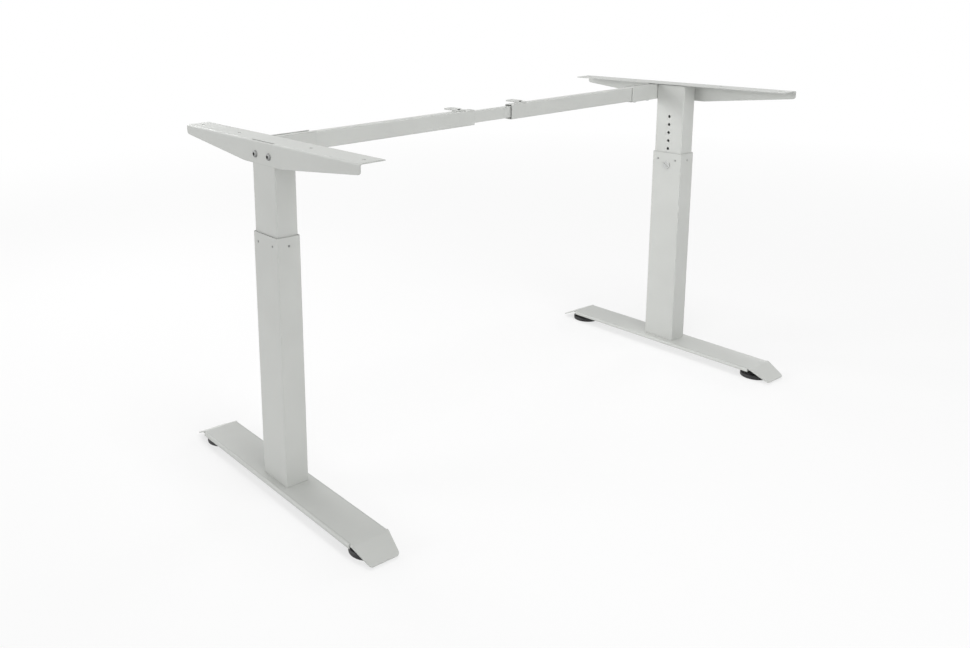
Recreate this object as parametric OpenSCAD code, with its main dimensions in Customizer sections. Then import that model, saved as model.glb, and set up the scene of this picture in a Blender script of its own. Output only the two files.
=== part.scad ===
// Height and width adjustable steel desk frame, without its tabletop.
// Two telescopic legs stand on folded feet with levelling glides.
// Each leg carries a folded tabletop bracket, and a telescopic crossbar joins them behind the columns.
// Millimetres. +Z is up, +X runs along the crossbar, the front of the desk is -Y.
// The origin is on the floor, midway between the legs.

/* [Frame] */
// Distance between the centres of the two columns
leg_span = 1172; // [1080:1:1600]
// How many height holes the frame stands above its lowest setting
steps_up = 6; // [0:1:14]
// Which node is drawn: all, or one name of the list below

/* [Foot] */
// Height of the foot's top face above the floor
foot_top = 28; // [26:0.5:40]
// Length of the foot's level stretch
foot_level_len = 514; // [420:1:640]
// Width of the foot across its level stretch
foot_w = 82; // [70:1:120]
// Thickness of the foot's steel sheet
foot_sheet = 2.5; // [2:0.1:4]
// Depth of the foot's turned-down sides, sheet included
foot_side_h = 8; // [6:0.5:9]
// Length of the sloping end of the foot, along the slope
foot_tip_len = 44; // [30:1:60]
// Width of the sloping end at its free edge
foot_tip_w = 62; // [40:1:70]
// Angle by which the end of the foot slopes down
foot_tip_angle = 27; // [10:1:30]
// Radius of the bend between the level stretch and the end, on the outside
foot_bend_r = 12; // [6:1:20]
// Radius of the two corners of the sloping end
foot_tip_corner_r = 6; // [2:0.5:12]

/* [Glides] */
// Distance of each levelling glide from the bend of the foot
glide_inset = 7; // [7:0.5:60]
// Radius of the plastic glide
glide_r = 32; // [20:0.5:34]
// Height of the plastic glide
glide_h = 10; // [7:0.5:12]
// Radius of the glide's threaded stud
stud_r = 4; // [3:0.5:5]
// Height of the weld nut under the foot
glide_nut_h = 8; // [6:0.5:9]
// Width of the weld nut and of the stud's hexagon, across the corners
glide_nut_w = 15; // [13:0.5:18]
// Height of the stud's hexagon
stud_hex_h = 4.5; // [3:0.5:5]

/* [Columns] */
// Length of the outer column
outer_len = 482; // [380:1:560]
// Depth of the outer column, front to rear
outer_depth = 80; // [60:1:100]
// Width of the outer column, along the crossbar
outer_w = 50; // [40:1:60]
// Wall of both columns
tube_wall = 1.5; // [1.2:0.1:2.5]
// Corner radius of the outer column
tube_corner_r = 3; // [2.5:0.5:5]
// Length of the inner column
inner_len = 440; // [360:1:520]
// Wall of the plastic liner in the mouth of the outer column
liner_t = 1; // [0.8:0.1:2]
// Length of the plastic liner
liner_len = 60; // [45:1:90]
// Running gap between the inner column and the liner
slide_gap = 0.2; // [0.15:0.05:0.4]
// Radius of the nubs that hold the liner
nub_r = 2; // [1.5:0.1:3]
// Distance of the nubs from the mouth of the outer column
nub_drop = 17; // [10:0.5:20]
// Distance of the two nubs of a wide face from its middle
nub_y = 24; // [15:1:30]

/* [Height holes] */
// Distance between two height holes
hole_pitch = 20; // [15:1:30]
// Number of height holes
hole_count = 15; // [8:1:18]
// Radius of a height hole
hole_r = 3.4; // [3:0.1:3.5]
// Distance of the locking screw from the mouth of the outer column
lock_drop = 30; // [25:1:40]
// Radius of the locking screw's head
lock_head_r = 9.5; // [7:0.5:12]
// Height of the locking screw's head
lock_head_h = 2.6; // [2:0.1:4]
// Radius of the locking screw's thread
lock_r = 4; // [3.6:0.1:5]
// Radius of the clinch nut in the outer column's wall
lock_nut_r = 6.5; // [6:0.1:8]

/* [Tabletop brackets] */
// Length of a bracket, front to rear
bracket_len = 568; // [460:1:700]
// Width of the flange under the tabletop
flange_w = 50; // [46:1:80]
// Depth of the web beside the column
web_depth = 42; // [36:1:60]
// Depth of the web at its two ends
web_end_depth = 18; // [12:1:30]
// Length of the web's full depth
web_mid_len = 124; // [90:1:200]
// Thickness of the bracket's steel sheet
bracket_sheet = 2; // [1.5:0.1:3]
// Outer radius of the fold
fold_r = 4; // [3.5:0.5:6]
// Gap between the outer column's mouth and the web at the lowest setting
lowest_gap = 8; // [4:1:20]
// Distance of the outer pair of tabletop holes from the bracket's ends
far_hole_inset = 22; // [12:1:60]
// Distance of the inner pair of tabletop holes from the column's centre
near_hole_y = 118; // [90:1:150]
// Radius of the tabletop holes
table_hole_r = 3.25; // [2.5:0.25:4]
// Distance of the two bracket screws from the column's centre
bracket_screw_y = 22.5; // [15:0.5:27]
// Distance of the bracket screws below the tabletop
bracket_screw_drop = 25; // [20:0.5:28]

/* [Crossbar] */
// Height of the outer rail
rail_h = 33; // [28:0.5:34]
// Depth of the outer rail, front to rear
rail_depth = 20; // [18:0.5:30]
// Wall of the rails
rail_wall = 1.5; // [1.2:0.1:2]
// Wall of the plastic sleeve in the mouth of the outer rail
sleeve_t = 2.1; // [1.5:0.1:2.5]
// Length of the plastic sleeve
sleeve_len = 60; // [40:1:80]
// How far the top of the rail lies below the tabletop
rail_drop = 4; // [4:0.1:6]
// Half of the open stretch between the two outer rails
mouth_x = 55.5; // [20:0.5:90]
// Distance from the column's centre to the end of the inner rail
inner_rail_inset = 175; // [160:1:260]
// How far the rail holder reaches from the column's centre
holder_reach = 119; // [80:1:160]
// Thickness of the rail holder's sheet
holder_sheet = 2; // [1.5:0.1:2.5]
// Distance of the tabletop lug from the middle of the frame
lug_x = 92; // [75:0.5:110]
// Width of the tabletop lug
lug_w = 25; // [18:0.5:32]
// Thickness of the tabletop lug
lug_t = 2.5; // [2:0.1:3]
// How far the lug stands out behind the rail
lug_reach = 25; // [18:0.5:40]

/* [Hidden] */

// Finishes
paint = [0.75, 0.76, 0.745];
zinc = [0.70, 0.71, 0.72];
black_plastic = [0.09, 0.09, 0.09];
grey_plastic = [0.55, 0.56, 0.55];
nylon = [0.88, 0.87, 0.83];

// How far every cut runs past the face that it opens
cut_over = 1;
// Radial clearance of a stud or screw that turns in its thread or bore
turn_gap = 0.05;
// Clearance between moving pieces that don't guide each other
free_gap = 0.3;
// Clearance of a fixed screw in its plain hole
hole_gap = 0.4;

// Heights, all above the floor
outer_top = foot_top + outer_len;
table_z = outer_top + lowest_gap + web_depth + steps_up * hole_pitch;
// Gap between the bracket's flange and the top of the inner column
head_gap = 1.5;
inner_top = table_z - bracket_sheet - head_gap;
inner_bottom = inner_top - inner_len;
lock_z = outer_top - lock_drop;
rail_top = table_z - rail_drop;
rail_z = rail_top - rail_h / 2;

// Column sections
bore_depth = outer_depth - 2 * tube_wall;
bore_w = outer_w - 2 * tube_wall;
inner_depth = bore_depth - 2 * (liner_t + slide_gap);
inner_w = bore_w - 2 * (liner_t + slide_gap);
bore_corner_r = tube_corner_r - tube_wall;
inner_corner_r = tube_corner_r;

// Foot
foot_half = foot_level_len / 2;
foot_under = foot_top - foot_sheet;
foot_side_r = 4;
foot_side_end_gap = 3;
base_plug_h = 6;
base_plug_gap = 0.2;
base_bolt_x = 11;
base_bolt_y = 25;
base_bolt_r = 3;
base_bolt_head_r = 5.25;
base_bolt_head_h = 3.2;
base_bolt_len = 7;

// Levelling glides
glide_y = foot_half - glide_inset;
glide_lip_r = 3;
glide_bore_floor = 3;
stud_bottom_gap = 0.3;
stud_top = foot_under - free_gap;

// Column shoe, at the bottom of the inner column
shoe_collar_h = 12;
shoe_plug_h = 22;
shoe_plug_wall = 3;

// Locking screw
lock_nut_reach = 0.7;
lock_pad_r = 3.2;
lock_pad_len = 1.3;
lock_slot_w = 1.6;
lock_slot_depth = 1.3;
lock_slot_angle = 45;
lock_spigot_r = 1.5;
lock_spigot_len = 0.8;

// Bracket
web_x = -inner_w / 2 - bracket_sheet;
web_corner_r = 7;
far_hole_y = bracket_len / 2 - far_hole_inset;
arc_steps = 8;
fold_slot_w = 2.4;
bracket_screw_r = 4;
bracket_head_r = 6.6;
bracket_head_h = 3.4;
bracket_screw_len = 14;
bracket_socket_r = 2.9;
rivet_r = 5.5;
rivet_flange_r = 7.5;
rivet_flange_t = 0.8;
rivet_len = 12;

// Crossbar
rail_gap = 0.3;
holder_front = inner_depth / 2;
rail_front = holder_front + holder_sheet + rail_gap;
rail_y = rail_front + rail_depth / 2;
holder_depth = rail_depth + 2 * (rail_gap + holder_sheet);
holder_bottom = rail_z - rail_h / 2 - rail_gap - holder_sheet;
holder_top_gap = 0.5;
holder_h = table_z - bracket_sheet - holder_top_gap - holder_bottom;
holder_corner_r = 2.5;
rail_corner_r = 2.5;
rail_end_gap = 6;
rail_bore_h = rail_h - 2 * rail_wall;
rail_bore_depth = rail_depth - 2 * rail_wall;
inner_rail_len = leg_span - 2 * inner_rail_inset;
inner_rail_h = rail_bore_h - 2 * (sleeve_t + slide_gap);
inner_rail_depth = rail_bore_depth - 2 * (sleeve_t + slide_gap);
inner_rail_corner_r = 2;
sleeve_set_back = 6;
plug_len = 15;
plug_lip_t = 2;
holder_screw_near = 45;
holder_screw_far = 95;
holder_screw_r = 3;
holder_head_r = 5.25;
holder_head_h = 3.2;
holder_screw_len = 9;
nut_bar_t = 4;
nut_bar_margin = 10;
nut_bar_gap = 1;

// Tabletop lug and clamping screw
lug_step = rail_drop - lug_t;
lug_step_run = 5;
lug_corner_r = 6;
lug_front_margin = 2;
lug_hole_margin = 9;
lug_hole_r = 3;
clamp_r = 3;
clamp_pad_r = 2.4;
clamp_pad_len = 1.4;
clamp_proud = 1.4;
clamp_socket_r = 1.73;
clamp_socket_depth = 3;
clamp_window_r = 3.6;

// Rectangle centred on the origin, with round corners
module round_rect(size_x, size_y, corner) {
    square([size_x - 2 * corner, size_y], center = true);
    square([size_x, size_y - 2 * corner], center = true);
    for (side_x = [-1, 1], side_y = [-1, 1])
        translate([side_x * (size_x / 2 - corner), side_y * (size_y / 2 - corner)])
            circle(r = corner, $fn = 32);
}

// Upright tube, standing on z = 0
module tube(size_x, size_y, wall, corner, length) {
    difference() {
        linear_extrude(length)
            round_rect(size_x, size_y, corner);
        translate([0, 0, -cut_over])
            linear_extrude(length + 2 * cut_over)
                round_rect(size_x - 2 * wall, size_y - 2 * wall, corner - wall);
    }
}

// Turns a shape that stands along Z so that it lies along +X, with its X side upwards
module lay_along_x() {
    rotate([0, 90, 0])
        children();
}

// Button head screw: its head rises from z = 0, its shank hangs below
module button_screw(head_r, head_h, shank_r, shank_len, socket_r, socket_depth) {
    crown_r = head_r * 0.55;
    difference() {
        union() {
            cylinder(r1 = head_r, r2 = crown_r, h = head_h, $fn = 48);
            translate([0, 0, -shank_len])
                cylinder(r = shank_r, h = shank_len + head_h / 2, $fn = 32);
        }
        translate([0, 0, head_h - socket_depth])
            cylinder(r = socket_r, h = socket_depth + cut_over, $fn = 6);
    }
}

// Places a piece of the left leg, whose own +X points at the other leg
module at_left() {
    translate([-leg_span / 2, 0, 0])
        children();
}

// Places the mirrored piece on the right leg
module at_right() {
    mirror([1, 0, 0])
        at_left()
            children();
}

// Half of the foot's side view, for the end that points along +Y: y along the foot, z up
module foot_half_profile() {
    pivot_z = foot_top - foot_bend_r;
    inner_r = foot_bend_r - foot_sheet;
    run_y = foot_half + foot_tip_len * cos(foot_tip_angle);
    run_z = pivot_z - foot_tip_len * sin(foot_tip_angle);
    polygon([
        [0, foot_under],
        [0, foot_top],
        for (step = [0 : arc_steps])
            [
                foot_half + foot_bend_r * sin(step * foot_tip_angle / arc_steps),
                pivot_z + foot_bend_r * cos(step * foot_tip_angle / arc_steps)
            ],
        [run_y + foot_bend_r * sin(foot_tip_angle), run_z + foot_bend_r * cos(foot_tip_angle)],
        [run_y + inner_r * sin(foot_tip_angle), run_z + inner_r * cos(foot_tip_angle)],
        for (step = [arc_steps : -1 : 0])
            [
                foot_half + inner_r * sin(step * foot_tip_angle / arc_steps),
                pivot_z + inner_r * cos(step * foot_tip_angle / arc_steps)
            ]
    ]);
}

// Plan of the foot: level stretch between the turned-down sides, two tapering ends
module foot_plan() {
    tip_y = foot_half + foot_bend_r * sin(foot_tip_angle) + foot_tip_len * cos(foot_tip_angle);
    half_w = foot_w / 2;
    half_tip = foot_tip_w / 2;
    taper = atan((half_w - half_tip) / (tip_y - foot_half));
    turn = 90 - taper;
    corner_y = tip_y - foot_tip_corner_r;
    corner_x = half_tip + foot_tip_corner_r * tan(taper) - foot_tip_corner_r / cos(taper);
    inner_half = half_w - foot_side_r;
    quarter = [
        [inner_half, 0],
        [inner_half, foot_half - foot_side_end_gap],
        [half_w, foot_half - foot_side_end_gap],
        [half_w, foot_half],
        for (step = [0 : arc_steps])
            [
                corner_x + foot_tip_corner_r * cos(taper + step * turn / arc_steps),
                corner_y + foot_tip_corner_r * sin(taper + step * turn / arc_steps)
            ]
    ];
    last = len(quarter) - 1;
    half = concat(quarter, [for (step = [0 : last]) [-quarter[last - step][0], quarter[last - step][1]]]);
    polygon(half);
    mirror([0, 1])
        polygon(half);
}

// Rounded, turned-down sides of the foot, with the sheet's edge strip above them
module foot_sides() {
    side_len = foot_level_len - 2 * foot_side_end_gap;
    intersection() {
        translate([0, side_len / 2, foot_top - foot_w / 2])
            rotate([90, 0, 0])
                difference() {
                    linear_extrude(side_len)
                        round_rect(foot_w, foot_w, foot_side_r);
                    translate([0, 0, -cut_over])
                        linear_extrude(side_len + 2 * cut_over)
                            round_rect(
                                foot_w - 2 * foot_sheet,
                                foot_w - 2 * foot_sheet,
                                foot_side_r - foot_sheet
                            );
                }
        translate([-foot_w / 2 - cut_over, -foot_half, foot_top - foot_side_h])
            cube([foot_w + 2 * cut_over, foot_level_len, foot_side_h + cut_over]);
    }
}

// Folded sheet foot: a level top with turned-down sides, and two sloping ends
module foot() {
    color(paint)
    difference() {
        union() {
            intersection() {
                translate([-foot_w / 2 - cut_over, 0, 0])
                    rotate([90, 0, 90])
                        linear_extrude(foot_w + 2 * cut_over) {
                            foot_half_profile();
                            mirror([1, 0])
                                foot_half_profile();
                        }
                linear_extrude(foot_top + cut_over)
                    foot_plan();
            }
            foot_sides();
        }
        for (side_x = [-1, 1], side_y = [-1, 1])
            translate([side_x * base_bolt_x, side_y * base_bolt_y, foot_under - cut_over])
                cylinder(r = base_bolt_r + hole_gap, h = foot_sheet + 2 * cut_over, $fn = 32);
    }
}

// Steel plug welded into the bottom of the outer column, tapped for the foot bolts
module base_plug() {
    color(zinc)
    translate([0, 0, foot_top])
        difference() {
            linear_extrude(base_plug_h)
                round_rect(bore_w - 2 * base_plug_gap, bore_depth - 2 * base_plug_gap, bore_corner_r);
            for (side_x = [-1, 1], side_y = [-1, 1])
                translate([side_x * base_bolt_x, side_y * base_bolt_y, -cut_over])
                    cylinder(r = base_bolt_r, h = base_plug_h + 2 * cut_over, $fn = 32);
        }
}

// Four bolts that hold the column on the foot, from below
module foot_bolts() {
    color(zinc)
    for (side_x = [-1, 1], side_y = [-1, 1])
        translate([side_x * base_bolt_x, side_y * base_bolt_y, foot_under])
            rotate([180, 0, 0])
                button_screw(
                    base_bolt_head_r, base_bolt_head_h, base_bolt_r,
                    base_bolt_len, base_bolt_head_r / 3, base_bolt_head_h / 2
                );
}

// Positions of the liner's nubs: the face's axis, the place along the face
module at_nubs() {
    for (turn = [0, 180], along = [-nub_y, nub_y])
        rotate([0, 0, turn])
            translate([bore_w / 2, along, outer_top - nub_drop])
                rotate([0, 90, 0])
                    children();
    for (turn = [90, 270])
        rotate([0, 0, turn])
            translate([bore_depth / 2, 0, outer_top - nub_drop])
                rotate([0, 90, 0])
                    children();
}

// Lower, outer tube of the leg
module outer_column() {
    color(paint)
    difference() {
        translate([0, 0, foot_top])
            tube(outer_w, outer_depth, tube_wall, tube_corner_r, outer_len);
        at_nubs()
            translate([0, 0, -cut_over])
                cylinder(r = nub_r + turn_gap, h = tube_wall + 2 * cut_over, $fn = 32);
        translate([bore_w / 2 - cut_over, 0, lock_z])
            lay_along_x()
                cylinder(r = lock_nut_r, h = tube_wall + 2 * cut_over, $fn = 48);
    }
}

// Clinch nut, pressed into the outer column's wall for the locking screw
module lock_nut() {
    nut_len = tube_wall + lock_nut_reach;
    color(zinc)
    translate([outer_w / 2 - nut_len, 0, lock_z])
        lay_along_x()
            difference() {
                cylinder(r = lock_nut_r, h = nut_len, $fn = 48);
                translate([0, 0, -cut_over])
                    cylinder(r = lock_r + turn_gap, h = nut_len + 2 * cut_over, $fn = 32);
            }
}

// Plastic liner that guides the inner column, held by nubs in the outer column's walls
module column_liner() {
    color(grey_plastic)
    difference() {
        union() {
            translate([0, 0, outer_top - liner_len])
                tube(bore_w, bore_depth, liner_t, bore_corner_r, liner_len);
            at_nubs()
                translate([0, 0, -liner_t / 2])
                    cylinder(r = nub_r, h = tube_wall + liner_t / 2, $fn = 32);
        }
        translate([inner_w / 2, 0, lock_z])
            lay_along_x()
                cylinder(r = lock_nut_r + free_gap, h = liner_t + slide_gap + cut_over, $fn = 48);
    }
}

// Nylon pad on the tip of the locking screw: it slides, and the screw turns in it
module lock_pad() {
    color(nylon)
    translate([inner_w / 2 + free_gap, 0, lock_z])
        lay_along_x()
            difference() {
                cylinder(r = lock_pad_r, h = lock_pad_len, $fn = 32);
                translate([0, 0, lock_pad_len - lock_spigot_len])
                    cylinder(r = lock_spigot_r + turn_gap, h = lock_spigot_len + cut_over, $fn = 32);
            }
}

// Locking screw with a coin slot in its flat head
module lock_screw() {
    tip_x = inner_w / 2 + free_gap + lock_pad_len + turn_gap;
    head_x = outer_w / 2;
    color(paint)
    difference() {
        union() {
            translate([head_x, 0, lock_z])
                lay_along_x()
                    cylinder(r = lock_head_r, h = lock_head_h, $fn = 64);
            translate([tip_x, 0, lock_z])
                lay_along_x()
                    cylinder(r = lock_r, h = head_x - tip_x + lock_head_h / 2, $fn = 32);
            translate([tip_x - lock_spigot_len + 2 * turn_gap, 0, lock_z])
                lay_along_x()
                    cylinder(r = lock_spigot_r, h = lock_spigot_len, $fn = 32);
        }
        translate([head_x + lock_head_h - lock_slot_depth, 0, lock_z])
            rotate([lock_slot_angle, 0, 0])
                translate([0, -lock_head_r - cut_over, -lock_slot_w / 2])
                    cube([lock_slot_depth + cut_over, 2 * (lock_head_r + cut_over), lock_slot_w]);
    }
}

// Round plastic glide with a rounded upper rim; its bore takes the stud
module glide(place_y) {
    color(black_plastic)
    translate([0, place_y, 0])
        difference() {
            union() {
                cylinder(r = glide_r, h = glide_h - glide_lip_r, $fn = 96);
                translate([0, 0, glide_h - glide_lip_r])
                    cylinder(r = glide_r - glide_lip_r, h = glide_lip_r, $fn = 96);
                translate([0, 0, glide_h - glide_lip_r])
                    rotate_extrude($fn = 96)
                        translate([glide_r - glide_lip_r, 0])
                            circle(r = glide_lip_r, $fn = 32);
            }
            translate([0, 0, glide_bore_floor])
                cylinder(r = stud_r + turn_gap, h = glide_h, $fn = 32);
        }
}

// Steel stud with a hexagon for the spanner
module stud(place_y) {
    stud_bottom = glide_bore_floor + stud_bottom_gap;
    color(zinc)
    translate([0, place_y, 0]) {
        translate([0, 0, stud_bottom])
            cylinder(r = stud_r, h = stud_top - stud_bottom, $fn = 32);
        translate([0, 0, glide_h + free_gap])
            cylinder(r = glide_nut_w / 2, h = stud_hex_h, $fn = 6);
    }
}

// Hexagonal weld nut under the foot's top sheet
module glide_nut(place_y) {
    color(zinc)
    translate([0, place_y, foot_under - glide_nut_h])
        difference() {
            cylinder(r = glide_nut_w / 2, h = glide_nut_h, $fn = 6);
            translate([0, 0, -cut_over])
                cylinder(r = stud_r + turn_gap, h = glide_nut_h + 2 * cut_over, $fn = 32);
        }
}

// Upper, inner tube of the leg, with its row of height holes in the face towards the other leg
module inner_column() {
    color(paint)
    difference() {
        translate([0, 0, inner_bottom])
            tube(inner_w, inner_depth, tube_wall, inner_corner_r, inner_len);
        for (step = [0 : hole_count - 1])
            translate([
                inner_w / 2 - tube_wall - cut_over,
                0,
                lock_z + (steps_up - step) * hole_pitch
            ])
                lay_along_x()
                    cylinder(r = hole_r, h = tube_wall + 2 * cut_over, $fn = 32);
        for (side = [-1, 1])
            translate([
                -inner_w / 2 - cut_over,
                side * bracket_screw_y,
                table_z - bracket_screw_drop
            ])
                lay_along_x()
                    cylinder(r = rivet_r, h = tube_wall + 2 * cut_over, $fn = 32);
    }
}

// Plastic shoe that guides the bottom of the inner column in the outer one
module column_shoe() {
    color(grey_plastic)
    translate([0, 0, inner_bottom]) {
        translate([0, 0, -shoe_collar_h])
            tube(
                bore_w - 2 * free_gap, bore_depth - 2 * free_gap,
                shoe_plug_wall + liner_t, tube_corner_r + liner_t, shoe_collar_h
            );
        tube(
            inner_w - 2 * tube_wall, inner_depth - 2 * tube_wall,
            shoe_plug_wall, shoe_plug_wall + turn_gap, shoe_plug_h
        );
    }
}

// Section of the bracket across the desk: x from the web inwards, y up to the tabletop
module bracket_section() {
    inner_fold_r = fold_r - bracket_sheet;
    difference() {
        union() {
            translate([fold_r, -web_depth])
                square([flange_w - fold_r, web_depth]);
            translate([0, -web_depth])
                square([flange_w, web_depth - fold_r]);
            translate([fold_r, -fold_r])
                circle(r = fold_r, $fn = 48);
        }
        translate([bracket_sheet, -web_depth - cut_over])
            square([flange_w, web_depth + cut_over - fold_r]);
        translate([fold_r, -web_depth - cut_over])
            square([flange_w, web_depth + cut_over - bracket_sheet]);
        translate([fold_r, -fold_r])
            circle(r = inner_fold_r, $fn = 48);
    }
}

// Side outline of the bracket: full depth beside the column, shallow round-cornered ends
module bracket_outline() {
    end_y = bracket_len / 2;
    taper = atan((web_depth - web_end_depth) / (end_y - web_mid_len / 2));
    corner_y = end_y - web_corner_r;
    corner_z = -web_end_depth - web_corner_r * tan(taper) + web_corner_r / cos(taper);
    turn = 90 - taper;
    half = [
        [end_y, 0],
        for (step = [0 : arc_steps])
            [
                corner_y + web_corner_r * cos(step * turn / arc_steps),
                corner_z - web_corner_r * sin(step * turn / arc_steps)
            ],
        [web_mid_len / 2, -web_depth]
    ];
    last = len(half) - 1;
    polygon(concat(half, [for (step = [0 : last]) [-half[last - step][0], half[last - step][1]]]));
}

// Folded tabletop bracket with its web on the outer side of the column
module bracket() {
    color(paint)
    difference() {
        intersection() {
            translate([web_x, bracket_len / 2, table_z])
                rotate([90, 0, 0])
                    linear_extrude(bracket_len)
                        bracket_section();
            translate([web_x - cut_over, 0, table_z])
                rotate([90, 0, 90])
                    linear_extrude(flange_w + 2 * cut_over)
                        bracket_outline();
        }
        for (place_y = [-far_hole_y, -near_hole_y, near_hole_y, far_hole_y])
            translate([web_x + flange_w / 2, place_y, table_z - bracket_sheet - cut_over])
                cylinder(r = table_hole_r, h = bracket_sheet + 2 * cut_over, $fn = 32);
        for (side = [-1, 1])
            translate([web_x - cut_over, side * bracket_screw_y, table_z - bracket_screw_drop])
                lay_along_x()
                    cylinder(r = bracket_screw_r + hole_gap, h = bracket_sheet + 2 * cut_over, $fn = 32);
        translate([web_x + bracket_sheet, -inner_depth / 2, table_z - bracket_sheet - cut_over])
            cube([fold_slot_w, inner_depth, bracket_sheet + 2 * cut_over]);
    }
}

// Two screws that hold the web to the column
module bracket_screws() {
    color(zinc)
    for (side = [-1, 1])
        translate([web_x, side * bracket_screw_y, table_z - bracket_screw_drop])
            rotate([0, -90, 0])
                button_screw(
                    bracket_head_r, bracket_head_h, bracket_screw_r,
                    bracket_screw_len, bracket_socket_r, bracket_head_h - free_gap
                );
}

// Two rivet nuts in the inner column's outer wall, behind the web
module bracket_nuts() {
    color(zinc)
    for (side = [-1, 1])
        translate([-inner_w / 2, side * bracket_screw_y, table_z - bracket_screw_drop])
            lay_along_x()
                difference() {
                    union() {
                        cylinder(r = rivet_r, h = rivet_len, $fn = 32);
                        translate([0, 0, tube_wall])
                            cylinder(r = rivet_flange_r, h = rivet_flange_t, $fn = 32);
                    }
                    translate([0, 0, -cut_over])
                        cylinder(r = bracket_screw_r, h = rivet_len + 2 * cut_over, $fn = 32);
                }
}

// Channel behind the column that holds the end of the outer rail, open at the top
module rail_holder() {
    holder_len = holder_reach + inner_w / 2;
    color(paint)
    difference() {
        translate([-inner_w / 2, holder_front + holder_depth / 2, holder_bottom])
            lay_along_x()
                translate([-holder_h / 2, 0, 0])
                    difference() {
                        linear_extrude(holder_len)
                            round_rect(holder_h, holder_depth, holder_corner_r);
                        translate([-holder_sheet, 0, -cut_over])
                            linear_extrude(holder_len + 2 * cut_over)
                                square([holder_h, holder_depth - 2 * holder_sheet], center = true);
                    }
        for (place_x = [holder_screw_near, holder_screw_far])
            translate([place_x, rail_y, holder_bottom - cut_over])
                cylinder(r = holder_screw_r + hole_gap, h = holder_sheet + 2 * cut_over, $fn = 32);
    }
}

// Two screws from below that hold the rail in its holder
module holder_screws() {
    color(zinc)
    for (place_x = [holder_screw_near, holder_screw_far])
        translate([place_x, rail_y, holder_bottom])
            rotate([180, 0, 0])
                button_screw(
                    holder_head_r, holder_head_h, holder_screw_r,
                    holder_screw_len, holder_head_r / 3, holder_head_h / 2
                );
}

// Tapped steel bar inside the rail, for the holder screws
module nut_bar() {
    bar_len = holder_screw_far - holder_screw_near + 2 * nut_bar_margin;
    bar_depth = rail_bore_depth - 2 * nut_bar_gap;
    bar_bottom = rail_z - rail_bore_h / 2;
    color(zinc)
    difference() {
        translate([holder_screw_near - nut_bar_margin, rail_y - bar_depth / 2, bar_bottom])
            cube([bar_len, bar_depth, nut_bar_t]);
        for (place_x = [holder_screw_near, holder_screw_far])
            translate([place_x, rail_y, bar_bottom - cut_over])
                cylinder(r = holder_screw_r, h = nut_bar_t + 2 * cut_over, $fn = 32);
    }
}

// Outer rail of the crossbar
module outer_rail() {
    start_x = -inner_w / 2 + rail_end_gap;
    rail_len = leg_span / 2 - mouth_x - start_x;
    clamp_x = leg_span / 2 - lug_x;
    color(paint)
    difference() {
        translate([start_x, rail_y, rail_z])
            lay_along_x()
                tube(rail_h, rail_depth, rail_wall, rail_corner_r, rail_len);
        for (place_x = [holder_screw_near, holder_screw_far])
            translate([place_x, rail_y, rail_z - rail_h / 2 - cut_over])
                cylinder(r = holder_screw_r + hole_gap, h = rail_wall + 2 * cut_over, $fn = 32);
        translate([clamp_x, rail_y, rail_top - rail_wall - cut_over])
            cylinder(r = clamp_r + turn_gap, h = rail_wall + 2 * cut_over, $fn = 32);
    }
}

// Plan of the lug: a strip along +Y with round corners at its free end
module lug_plan(length) {
    translate([-lug_w / 2, 0])
        square([lug_w, length - lug_corner_r]);
    translate([-lug_w / 2 + lug_corner_r, 0])
        square([lug_w - 2 * lug_corner_r, length]);
    for (side = [-1, 1])
        translate([side * (lug_w / 2 - lug_corner_r), length - lug_corner_r])
            circle(r = lug_corner_r, $fn = 32);
}

// Joggled lug, welded on the rail, whose ear is screwed to the tabletop
module rail_lug() {
    front_y = rail_front + lug_front_margin;
    step_y = rail_depth - 2 * lug_front_margin - lug_step_run;
    lug_len = rail_depth - lug_front_margin + lug_reach;
    color(paint)
    translate([leg_span / 2 - lug_x, front_y, rail_top])
        difference() {
            intersection() {
                translate([-lug_w / 2, 0, 0])
                    rotate([90, 0, 90])
                        linear_extrude(lug_w)
                            polygon([
                                [0, 0],
                                [step_y, 0],
                                [step_y + lug_step_run, lug_step],
                                [lug_len, lug_step],
                                [lug_len, rail_drop],
                                [step_y + lug_step_run, rail_drop],
                                [step_y, lug_t],
                                [0, lug_t]
                            ]);
                linear_extrude(rail_drop)
                    lug_plan(lug_len);
            }
            translate([0, rail_y - front_y, -cut_over])
                cylinder(r = clamp_r + turn_gap, h = rail_drop + 2 * cut_over, $fn = 32);
            translate([0, lug_len - lug_hole_margin, -cut_over])
                cylinder(r = lug_hole_r, h = rail_drop + 2 * cut_over, $fn = 32);
        }
}

// Plastic sleeve in the mouth of the outer rail, with a window for the clamping screw
module rail_sleeve() {
    mouth = leg_span / 2 - mouth_x;
    color(grey_plastic)
    difference() {
        translate([mouth - sleeve_set_back - sleeve_len, rail_y, rail_z])
            lay_along_x()
                tube(rail_bore_h, rail_bore_depth, sleeve_t, sleeve_t + turn_gap, sleeve_len);
        translate([leg_span / 2 - lug_x, rail_y, rail_z])
            cylinder(r = clamp_window_r, h = rail_h, $fn = 32);
    }
}

// Nylon pad under the clamping screw: it slides, and the screw turns in it
module clamp_pad() {
    color(nylon)
    translate([leg_span / 2 - lug_x, rail_y, rail_z + inner_rail_h / 2 + free_gap])
        difference() {
            cylinder(r = clamp_pad_r, h = clamp_pad_len, $fn = 32);
            translate([0, 0, clamp_pad_len - lock_spigot_len])
                cylinder(r = lock_spigot_r + turn_gap, h = lock_spigot_len + cut_over, $fn = 32);
        }
}

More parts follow.
